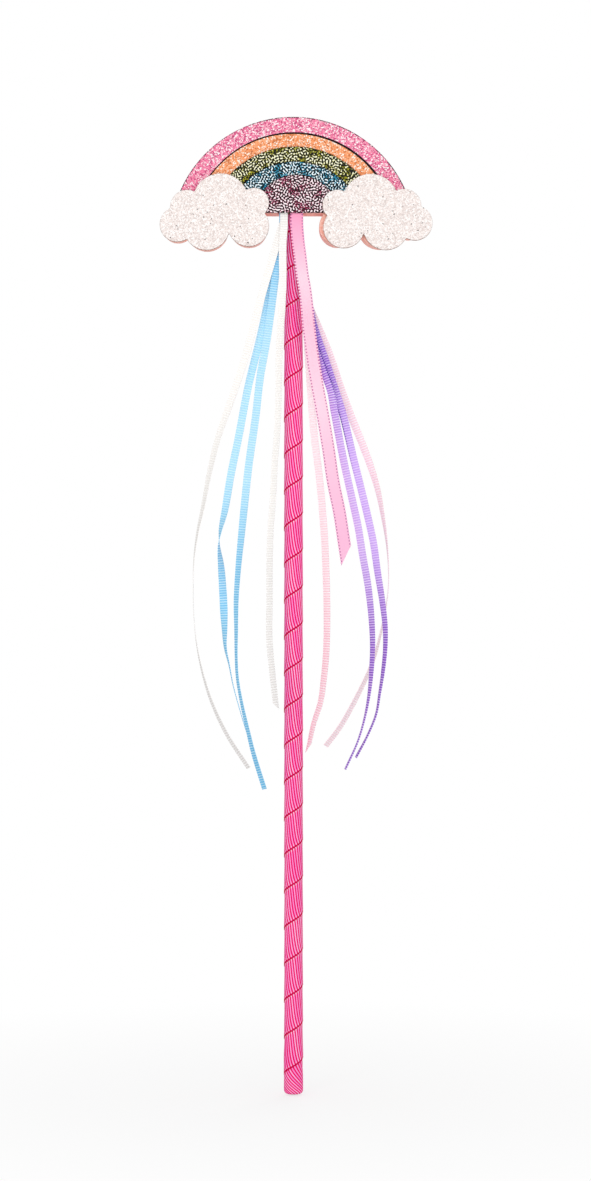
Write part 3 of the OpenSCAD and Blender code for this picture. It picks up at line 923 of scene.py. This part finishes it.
# The same foil in plum: painted black and wine red, with the most white flashes of the three as painted
# highlights
plum_glitter = glitter(
    "plum_coarse_glitter_fabric",
    [(0.52, "#090204"), (0.13, "#8E1442"), (0.08, "#BC6C8C"), (0.06, "#F0C6D0"), (0.21, "#FFF4F7")],
    FOIL_ROUGHNESS, "#2A0E18", strokes=True,
)
dress([gold_band], gold_glitter)
dress([blue_band], blue_glitter)
dress([plum_piece], plum_glitter)

# %% [markdown]
# ## Foam and felt
#
# The padding is salmon foam whose cut edge shows under the rainbow, and the back is closed with salmon
# felt. Foam has small pores, and felt is a mat of fibres. Both are too fine to model, so a noise mixes a
# darker and a lighter salmon and raises them a little. Felt's noise is drawn out along one direction for
# its fibres. On the foam's front face a dark ring of painted shadow fills the gap between the pink and the
# peach band.

# %% Foam and felt
# A painted shadow: the dark ring on the foam's front face in the gap between the pink and the peach band
GAP_SHADOW = "#1C0709"
GAP_SHADOW_HALF_WIDTH = 1.5 * MM
FRONT_FACE = -0.7
MAT_DETAIL = 4.0
MAT_ROUGHNESS = 0.6
PORE_DEPTH = 0.2 * MM
PORE_STRENGTH = 0.5


def gap_shadow_ring(tree, spot, colour, ring):
    """A colour with a ring of painted shadow in the gap between two bands, on the faces that look to the
    front.
    """
    facing = add(tree, "ShaderNodeSeparateXYZ", {"Vector": spot.outputs["Normal"]})
    front = add(tree, "ShaderNodeMath", {0: facing.outputs["Y"], 1: FRONT_FACE}, operation="LESS_THAN")
    in_gap_shadow = add(
        tree,
        "ShaderNodeMath",
        {0: ring_mask(tree, spot, ring, GAP_SHADOW_HALF_WIDTH), 1: front.outputs[0]},
        operation="MULTIPLY",
    )
    gap_shaded = add(
        tree,
        "ShaderNodeMix",
        {"Factor": in_gap_shadow.outputs[0], "A": colour, "B": paint(GAP_SHADOW)},
        data_type="RGBA",
    )
    return colour_of(gap_shaded)


def matted(name, dark, light, grain_mm, stretch, roughness, sheen, ring=None):
    """Salmon padding: noise of one grain size, drawn out by stretch along X, and perhaps a ring of painted
    shadow.
    """
    finish, tree = new_finish(name)
    spot = add(tree, "ShaderNodeTexCoord")
    drawn = add(
        tree, "ShaderNodeMapping", {"Vector": spot.outputs["Object"], "Scale": (1 / stretch, 1.0, 1.0)}
    )
    mat = add(
        tree,
        "ShaderNodeTexNoise",
        {
            "Vector": drawn.outputs[0],
            "Scale": 1 / (grain_mm * MM),
            "Detail": MAT_DETAIL,
            "Roughness": MAT_ROUGHNESS,
        },
    )
    mottled = add(tree, "ShaderNodeValToRGB", {"Fac": mat.outputs[0]}, stops=[(0.3, dark), (0.7, light)])
    colour = mottled.outputs["Color"]
    if ring:
        colour = gap_shadow_ring(tree, spot, colour, ring)
    relief = add(
        tree,
        "ShaderNodeBump",
        {"Height": mat.outputs[0], "Strength": PORE_STRENGTH, "Distance": PORE_DEPTH},
    )
    shader = add(
        tree,
        "ShaderNodeBsdfPrincipled",
        {
            "Base Color": colour,
            "Roughness": roughness,
            "Sheen Weight": sheen,
            "Normal": relief.outputs[0],
        },
    )
    add(tree, "ShaderNodeOutputMaterial", {"Surface": shader.outputs[0]})
    return finish


# Soft polyurethane foam: dull, with pores just under a millimetre wide
salmon_foam = matted(
    "salmon_polyurethane_foam", "#F7A38F", "#FFD0C2", 0.9, 1, roughness=0.9, sheen=0.1, ring=peach_ring
)
# Wool felt: duller still, with short fibres and a soft sheen at a slant
salmon_felt = matted("salmon_wool_felt", "#DB8A79", "#F3A998", 0.8, 4, roughness=0.95, sheen=0.4)
dress([foam_core], salmon_foam)
dress([back_panel], salmon_felt)

# %% [markdown]
# ## Grosgrain
#
# Grosgrain is woven with thick cross threads, so it is all ribs. Light would catch each crest and leave each
# groove darker, and that is painted into the colour: a painted highlight along each crest and painted shade
# in each groove. A wave texture in space would drift off the ribs of the mesh wherever a ribbon bends. The
# UV map holds millimetres along the ribbon, so a cosine of that length draws the ribs just where the mesh
# has them, and a random value for each whole rib number gives some ribs a brighter painted highlight than
# others. Three things more follow the cloth: painted shade that goes from lit to shaded colours along a
# streamer, the painted shade and painted glints at the edges of the ribbon wound on the stick where one turn
# laps over the next, and a painted shadow along the edge where a ribbon lies against the next.

# %% Ribs and painted shade
CREST_FROM = -0.35
THREAD_MM = 0.625
THREAD_DETAIL = 3.0
THREAD_ROUGHNESS = 0.6
SHADE_RAMP_MM = 270


def woven_ribs(tree, cloth, spot):
    """Crests of the ribs from 0 to 1, each rib's painted highlight by chance, and the noise of its threads.
    """
    ribs = add(tree, "ShaderNodeMath", {0: spot.outputs["Y"], 1: 1 / RIB_MM}, operation="MULTIPLY")
    turned = add(tree, "ShaderNodeMath", {0: ribs.outputs[0], 1: 2 * math.pi}, operation="MULTIPLY")
    wave = add(tree, "ShaderNodeMath", {0: turned.outputs[0]}, operation="COSINE")
    crests = add(
        tree, "ShaderNodeMapRange", {"Value": wave.outputs[0], "From Min": CREST_FROM, "From Max": 1.0}
    )
    number = add(tree, "ShaderNodeMath", {0: ribs.outputs[0], 1: 0.5}, operation="ADD")
    whole = add(tree, "ShaderNodeMath", {0: number.outputs[0]}, operation="FLOOR")
    luck = add(tree, "ShaderNodeTexWhiteNoise", {"W": whole.outputs[0]}, noise_dimensions="1D")
    thread = add(
        tree,
        "ShaderNodeTexNoise",
        {
            "Vector": cloth.outputs[0],
            "Scale": 1 / THREAD_MM,
            "Detail": THREAD_DETAIL,
            "Roughness": THREAD_ROUGHNESS,
        },
    )
    uneven = add(
        tree, "ShaderNodeMath", {0: luck.outputs["Value"], 1: thread.outputs[0]}, operation="MULTIPLY"
    )
    shine = add(
        tree, "ShaderNodeMath", {0: uneven.outputs[0], 1: crests.outputs[0]}, operation="MULTIPLY"
    )
    return crests.outputs[0], shine.outputs[0], thread.outputs[0]


def along_ribbon(tree, spot, stops, length_mm):
    """A ramp along a ribbon, whose stops are in millimetres from the head."""
    run = add(tree, "ShaderNodeMapRange", {"Value": spot.outputs["Y"], "From Max": length_mm})
    ramp = add(
        tree,
        "ShaderNodeValToRGB",
        {"Fac": run.outputs[0]},
        stops=[(mm / length_mm, code) for mm, code in stops],
    )
    return ramp.outputs["Color"]


def painted_shade_ribs(tree, spot, lit, shaded, painted_shade):
    """Groove and crest colours with painted shade, between their lit and their shaded tints along a ribbon.
    """
    depth = along_ribbon(tree, spot, painted_shade, SHADE_RAMP_MM)
    colours = []
    for bare, dim in zip(lit, shaded):
        between = add(
            tree, "ShaderNodeMix", {"Factor": depth, "A": paint(bare), "B": paint(dim)}, data_type="RGBA"
        )
        colours.append(colour_of(between))
    return colours


print("ribs in mm:", RIB_MM)

# %% Seam and edge shadow
# Painted shade on the wound ribbon's edges where the turns lap, and painted glints on the rib ends beside it
SEAM_SHADE = [
    (0.0, "#D61278"), (0.042, "#DA1A80"), (0.056, "#FFFFFF"), (0.93, "#FFFFFF"), (0.955, "#E478AE"),
]
SEAM_GLINTS = [
    (0.046, "#000000"), (0.068, "#D0D0D0"), (0.12, "#000000"), (0.86, "#000000"), (0.93, "#FFFFFF"),
]
# A painted shadow along a streamer's edge where it lies against the next ribbon
EDGE_SHADOW_MM = 0.55
EDGE_SHADOW_SOFT_MM = EDGE_SHADOW_MM / 3
EDGE_SHADOW_ON_CREST = 0.3


def up_the_wrap(tree, spot, stops):
    """A ramp across the wound ribbon, from its lower edge at 0 to its upper edge at 1."""
    place = add(
        tree, "ShaderNodeMath", {0: spot.outputs["X"], 1: MM / wrap_height}, operation="MULTIPLY"
    )
    return add(tree, "ShaderNodeValToRGB", {"Fac": place.outputs[0]}, stops=stops).outputs["Color"]


def seam_glints(tree, spot, crests, shine):
    """The ribs' painted highlight, with painted glints at their ends where they bend over the seam."""
    flash = add(
        tree,
        "ShaderNodeMath",
        {0: up_the_wrap(tree, spot, SEAM_GLINTS), 1: crests},
        operation="MULTIPLY",
    )
    return add(tree, "ShaderNodeMath", {0: shine, 1: flash.outputs[0]}, operation="MAXIMUM").outputs[0]


def seam_shade(tree, spot, colour):
    """A colour, with painted shade along the edges of the wound ribbon, where one turn laps over the next.
    """
    edged = add(
        tree,
        "ShaderNodeMix",
        {"Factor": 1.0, "A": colour, "B": up_the_wrap(tree, spot, SEAM_SHADE)},
        data_type="RGBA",
        blend_type="MULTIPLY",
    )
    return colour_of(edged)


def shadowed(tree, spot, crests, colour, side, dimming, dark):
    """A colour with a painted shadow along one edge of a streamer, where it lies against the next, least on
    its crests.
    """
    inner = RIBBON_W / 2 / MM - EDGE_SHADOW_MM
    rim = add(
        tree,
        "ShaderNodeMapRange",
        {
            "Value": spot.outputs["X"],
            "From Min": side * inner,
            "From Max": side * (inner + EDGE_SHADOW_SOFT_MM),
        },
    )
    gaps = add(
        tree, "ShaderNodeMath", {0: 1 + EDGE_SHADOW_ON_CREST, 1: crests}, operation="SUBTRACT", use_clamp=True
    )
    dimmed = add(
        tree,
        "ShaderNodeMath",
        {0: rim.outputs[0], 1: along_ribbon(tree, spot, dimming, SHADE_RAMP_MM)},
        operation="MULTIPLY",
    )
    dotted = add(
        tree, "ShaderNodeMath", {0: dimmed.outputs[0], 1: gaps.outputs[0]}, operation="MULTIPLY"
    )
    edged = add(
        tree,
        "ShaderNodeMix",
        {"Factor": dotted.outputs[0], "A": colour, "B": paint(dark)},
        data_type="RGBA",
    )
    return colour_of(edged)


print("tucked edge in mm:", EDGE_SHADOW_MM)

# %% Grosgrain
WEAVE_ROUGHNESS = 0.6
WEAVE_SHINE = 0.03
WEAVE_STRENGTH = 0.3
WEAVE_DEPTH = 0.05 * MM


def grosgrain(name, lit, shaded, bright, painted_shade=None, seam=False, edge_shadow=None):
    """Ribbed ribbon: groove and crest colours, lit and shaded, and the tint of its brightest ribs.

    Crest and groove colours and the bright tint are painted highlight and shade. A painted shade ramp says
    how shaded the ribbon is painted along its length, and a seam is for the ribbon that is wound up, with
    its painted shade and glints. An edge shadow is painted along an edge against the next ribbon: which
    edge, how dark along the ribbon, and its colour.
    """
    finish, tree = new_finish(name)
    cloth = add(tree, "ShaderNodeUVMap")
    spot = add(tree, "ShaderNodeSeparateXYZ", {"Vector": cloth.outputs[0]})
    crests, shine, thread = woven_ribs(tree, cloth, spot)
    if painted_shade:
        groove, crest = painted_shade_ribs(tree, spot, lit, shaded, painted_shade)
    else:
        groove, crest = (paint(code) for code in lit)
    ribbed = add(tree, "ShaderNodeMix", {"Factor": crests, "A": groove, "B": crest}, data_type="RGBA")
    if seam:
        shine = seam_glints(tree, spot, crests, shine)
    tinted = add(
        tree,
        "ShaderNodeMix",
        {"Factor": shine, "A": colour_of(ribbed), "B": paint(bright)},
        data_type="RGBA",
    )
    colour = colour_of(tinted)
    if seam:
        colour = seam_shade(tree, spot, colour)
    if edge_shadow:
        colour = shadowed(tree, spot, crests, colour, *edge_shadow)
    relief = add(
        tree, "ShaderNodeBump", {"Height": thread, "Strength": WEAVE_STRENGTH, "Distance": WEAVE_DEPTH}
    )
    shader = add(
        tree,
        "ShaderNodeBsdfPrincipled",
        {
            "Base Color": colour,
            "Roughness": WEAVE_ROUGHNESS,
            "Specular IOR Level": WEAVE_SHINE,
            "Normal": relief.outputs[0],
        },
    )
    add(tree, "ShaderNodeOutputMaterial", {"Surface": shader.outputs[0]})
    return finish


# Polyester grosgrain in hot pink: strong ribs that lean round the stick, painted dark in the grooves and
# nearly white on the brightest crests, as painted shade and painted highlights
hot_pink = grosgrain("hot_pink_grosgrain_ribbon", ("#EE0068", "#FF94DC"), None, "#FFE0F2", seam=True)
dress([wound_ribbon, tip], hot_pink)

# %% White and blue ribbons
# White grosgrain: warm white, with painted shade that greys it near the head and where the ribbon turns away
# below
white_grosgrain = grosgrain(
    "white_grosgrain_ribbon", ("#F8F4F0", "#FFFDFB"), ("#E6E2E0", "#FAF8F7"), "#FFFFFF",
    painted_shade=[(0, "#BCBCBC"), (25, "#000000"), (135, "#000000"), (165, "#B0B0B0"), (265, "#FFFFFF")],
)
# Light blue grosgrain: pale in the middle, with painted shade that deepens it under the head and towards its
# ends
blue_grosgrain = grosgrain(
    "light_blue_grosgrain_ribbon", ("#AEDFF8", "#C8ECFC"), ("#74C0EC", "#AEE0F8"), "#DCF4FE",
    painted_shade=[
        (0, "#FFFFFF"), (25, "#E0E0E0"), (55, "#000000"), (125, "#000000"), (160, "#E0E0E0"),
        (265, "#FFFFFF"),
    ],
)
dress(white_ribbons, white_grosgrain)
dress(blue_ribbons, blue_grosgrain)

# %% Lavender ribbons
LAVENDER_TINTS = ("#CFACF0", "#E4CCFA"), ("#8E5CCB", "#D2B2F4"), "#F0E4FC"
LAVENDER_PAINTED_SHADE = [
    (0, "#FFFFFF"), (75, "#F0F0F0"), (110, "#606060"), (130, "#000000"), (155, "#000000"), (200, "#FFFFFF"),
]
EDGE_SHADOW_PURPLE = "#46189A"
# Lavender grosgrain: painted shade deepens it to violet near the head and towards its ends, and a painted
# shadow draws a dark line where the two ribbons touch
inner_lavender = grosgrain(
    "inner_lavender_grosgrain_ribbon", *LAVENDER_TINTS, painted_shade=LAVENDER_PAINTED_SHADE,
    edge_shadow=(1, [(40, "#000000"), (56, "#FFFFFF"), (80, "#FFFFFF"), (90, "#000000")], EDGE_SHADOW_PURPLE),
)
outer_lavender = grosgrain(
    "outer_lavender_grosgrain_ribbon", *LAVENDER_TINTS, painted_shade=LAVENDER_PAINTED_SHADE,
    edge_shadow=(-1, [(70, "#000000"), (80, "#FFFFFF"), (100, "#FFFFFF"), (125, "#000000")], EDGE_SHADOW_PURPLE),
)
dress(lavender_ribbons[::2], inner_lavender)
dress(lavender_ribbons[1:2], outer_lavender)

# %% Pale pink ribbons
PALE_TINTS = ("#FEEFF2", "#FFF9FA"), ("#F9C8D3", "#FFEDF2"), "#FFFBFC"
# Pale pink grosgrain: nearly white where it is lit, and a soft pink where shade is painted on it
inner_pale = grosgrain(
    "inner_pale_pink_grosgrain_ribbon", *PALE_TINTS,
    painted_shade=[
        (0, "#000000"), (85, "#000000"), (115, "#7A7A7A"), (150, "#BCBCBC"), (195, "#FFFFFF"),
        (215, "#F4F4F4"), (245, "#BCBCBC"),
    ],
)
outer_pale = grosgrain(
    "outer_pale_pink_grosgrain_ribbon", *PALE_TINTS,
    painted_shade=[
        (0, "#E0E0E0"), (60, "#D8D8D8"), (130, "#C2C2C2"), (150, "#959595"), (180, "#808080"),
        (245, "#B3B3B3"),
    ],
)
dress(pale_ribbons[::2], inner_pale)
dress(pale_ribbons[1:2], outer_pale)

# %% [markdown]
# ## Satin
#
# Satin has long floating threads, so it is smooth and shines along its length. An anisotropic shine would
# change with every lamp, and the ribbon's pink changes mostly along its length, so its sheen and shade are
# painted on with a ramp along the ribbon: deeper near the head where shade is painted, and paler below in
# bands of painted sheen. The picots throw a row of darker dots along each edge, as painted shadow: the UV
# map gives both the distance from the edge and the beat of the dots.

# %% Satin
SATIN_FADE_MM = 160
# Painted sheen and painted shade along the satin, in mm from the head
SATIN_SHEEN_AND_SHADE = [
    (0, "#FF98C0"), (12, "#FFACCB"), (30, "#FDCDDE"), (50, "#FEBCD4"), (90, "#FECDDF"), (110, "#F7C0D8"),
    (150, "#F2B2D2"),
]
PICOT_SHADOW = "#B65A97"
PICOT_INSET_MM = 0.75
PICOT_SOFT_MM = 0.25
DOT_FROM = 0.3
DOT_TO = -0.5
# Floating threads are 0.2 mm wide and run for about 3 mm
FLOATS_PER_MM = (5.0, 0.35, 1.0)
FLOAT_STRENGTH = 0.25
SATIN_ROUGHNESS = 0.35
SATIN_SHEEN = 0.2

pink_satin, tree = new_finish("pink_picot_satin_ribbon")
cloth = add(tree, "ShaderNodeUVMap")
spot = add(tree, "ShaderNodeSeparateXYZ", {"Vector": cloth.outputs[0]})
beat = add(
    tree, "ShaderNodeMath", {0: spot.outputs["Y"], 1: 2 * math.pi / PICOT_MM}, operation="MULTIPLY"
)
wave = add(tree, "ShaderNodeMath", {0: beat.outputs[0]}, operation="COSINE")
gaps = add(
    tree, "ShaderNodeMapRange", {"Value": wave.outputs[0], "From Min": DOT_FROM, "From Max": DOT_TO}
)
side = add(tree, "ShaderNodeMath", {0: spot.outputs["X"]}, operation="ABSOLUTE")
dot_line = SATIN_W / 2 / MM - PICOT_INSET_MM
edge = add(
    tree,
    "ShaderNodeMapRange",
    {"Value": side.outputs[0], "From Min": dot_line - PICOT_SOFT_MM, "From Max": dot_line},
)
dots = add(tree, "ShaderNodeMath", {0: gaps.outputs[0], 1: edge.outputs[0]}, operation="MULTIPLY")
dotted = add(
    tree,
    "ShaderNodeMix",
    {
        "Factor": dots.outputs[0],
        "A": along_ribbon(tree, spot, SATIN_SHEEN_AND_SHADE, SATIN_FADE_MM),
        "B": paint(PICOT_SHADOW),
    },
    data_type="RGBA",
)
floats = add(tree, "ShaderNodeMapping", {"Vector": cloth.outputs[0], "Scale": FLOATS_PER_MM})
threads = add(tree, "ShaderNodeTexNoise", {"Vector": floats.outputs[0], "Scale": 1.0, "Detail": 3.0})
relief = add(
    tree,
    "ShaderNodeBump",
    {"Height": threads.outputs[0], "Strength": FLOAT_STRENGTH, "Distance": WEAVE_DEPTH},
)
# Polyester satin: smoother than grosgrain, with a broad soft shine
shader = add(
    tree,
    "ShaderNodeBsdfPrincipled",
    {
        "Base Color": colour_of(dotted),
        "Roughness": SATIN_ROUGHNESS,
        "Sheen Weight": SATIN_SHEEN,
        "Normal": relief.outputs[0],
    },
)
add(tree, "ShaderNodeOutputMaterial", {"Surface": shader.outputs[0]})
dress(satin_ribbons, pink_satin)

# %% [markdown]
# ## The dowel
#
# The stick is a birch dowel, hidden under the ribbon and in the foam. Its solid is right as it is, so it
# only gets wood. A wave texture would give rings as strong as pine's, and birch is plain, so a noise drawn
# out twenty times along the stick gives pale streaks of grain.

# %% Dowel
BIRCH_GRAIN_MM = 1.2
ALONG_THE_STICK = (1.0, 1.0, 0.05)
birch, tree = new_finish("birch_dowel")
spot = add(tree, "ShaderNodeTexCoord")
drawn = add(tree, "ShaderNodeMapping", {"Vector": spot.outputs["Object"], "Scale": ALONG_THE_STICK})
streaks = add(
    tree,
    "ShaderNodeTexNoise",
    {"Vector": drawn.outputs[0], "Scale": 1 / (BIRCH_GRAIN_MM * MM), "Detail": 4.0, "Distortion": 0.6},
)
colour = add(
    tree,
    "ShaderNodeValToRGB",
    {"Fac": streaks.outputs[0]},
    stops=[(0.3, "#C79F6C"), (0.7, "#E6CFA4")],
)
# Sanded birch, unvarnished: pale, even and dull
shader = add(
    tree, "ShaderNodeBsdfPrincipled", {"Base Color": colour.outputs["Color"], "Roughness": 0.6}
)
add(tree, "ShaderNodeOutputMaterial", {"Surface": shader.outputs[0]})
stick = frame["nodes"]["stick"]
stick.data.materials.clear()
stick.data.materials.append(birch)
print("stick finish:", birch.name)

# %% [markdown]
# ## Floor, world and light
#
# The photograph has a plain white ground. A white sheet bent up behind the wand would serve one view only,
# so a wide pale floor carries the soft shadow and the world is the background. To rays that come from the
# camera, a reflection or a clear piece the floor is mostly white, and all white further out, so that it
# runs into the world, which is white to the same rays and a softer white as a light. A large lamp from the
# upper left gives the ribbons their form, a weaker one from the right fills the shade, and one from behind
# lights the felt.

# %% Floor
FLOOR_DROP = 0.5 * MM
FLOOR_SIZE = 6
FLOOR_SHADOW = 0.3
SHADOW_REACH = 0.3


def direct_rays(tree):
    """1 for rays that come straight from the camera, or by a reflection or through a clear piece."""
    seen = add(tree, "ShaderNodeLightPath")
    glossy = add(
        tree,
        "ShaderNodeMath",
        {0: seen.outputs["Is Camera Ray"], 1: seen.outputs["Is Glossy Ray"]},
        operation="MAXIMUM",
    )
    direct = add(
        tree,
        "ShaderNodeMath",
        {0: glossy.outputs[0], 1: seen.outputs["Is Transmission Ray"]},
        operation="MAXIMUM",
    )
    return direct.outputs[0]


bpy.ops.object.select_all(action="DESELECT")
bpy.ops.mesh.primitive_plane_add(size=FLOOR_SIZE, location=(0, 0, -FLOOR_DROP))
floor = bpy.context.object
floor.name = "floor"
# Matt white paper
paper, tree = new_finish("white_paper")
matt = add(tree, "ShaderNodeBsdfDiffuse", {"Color": paint("#F4F4F4")})
white = add(tree, "ShaderNodeEmission", {"Color": paint("#FFFFFF"), "Strength": 1.0})
spot = add(tree, "ShaderNodeTexCoord")
reach = add(tree, "ShaderNodeVectorMath", {0: spot.outputs["Object"]}, operation="LENGTH")
bright = add(
    tree,
    "ShaderNodeMapRange",
    {
        "Value": reach.outputs["Value"],
        "From Min": 0.0,
        "From Max": SHADOW_REACH,
        "To Min": 1 - FLOOR_SHADOW,
        "To Max": 1.0,
    },
)
share = add(tree, "ShaderNodeMath", {0: direct_rays(tree), 1: bright.outputs[0]}, operation="MULTIPLY")
ground = add(
    tree, "ShaderNodeMixShader", {0: share.outputs[0], 1: matt.outputs[0], 2: white.outputs[0]}
)
add(tree, "ShaderNodeOutputMaterial", {"Surface": ground.outputs[0]})
floor.data.materials.append(paper)
print("floor size in m:", FLOOR_SIZE)

# %% World and light
WORLD_LIGHT = 0.62
WAND_MIDDLE = (0, 0, 0.25)

world = bpy.data.worlds.new("studio")
world.use_nodes = True
bpy.context.scene.world = world
tree = world.node_tree
tree.nodes.clear()
soft = add(tree, "ShaderNodeBackground", {"Color": paint("#FFFFFF"), "Strength": WORLD_LIGHT})
plain = add(tree, "ShaderNodeBackground", {"Color": paint("#FFFFFF"), "Strength": 1.0})
sky = add(tree, "ShaderNodeMixShader", {0: direct_rays(tree), 1: soft.outputs[0], 2: plain.outputs[0]})
add(tree, "ShaderNodeOutputWorld", {"Surface": sky.outputs[0]})


def lamp(name, place, size, power):
    """A square soft lamp that looks at the middle of the wand."""
    turn = (Vector(WAND_MIDDLE) - Vector(place)).to_track_quat("-Z", "Y").to_euler()
    bpy.ops.object.light_add(type="AREA", location=place, rotation=turn)
    made = bpy.context.object
    made.name = name
    made.data.size = size
    made.data.energy = power


lamp("key_lamp", place=(-0.3, -1.45, 0.75), size=1.2, power=8)
lamp("fill_lamp", place=(0.55, -1.4, 0.35), size=1.0, power=3)
lamp("back_lamp", place=(0.4, 1.4, 0.7), size=1.2, power=8)
bpy.context.scene.view_settings.view_transform = "Standard"
print("light of the world:", WORLD_LIGHT)
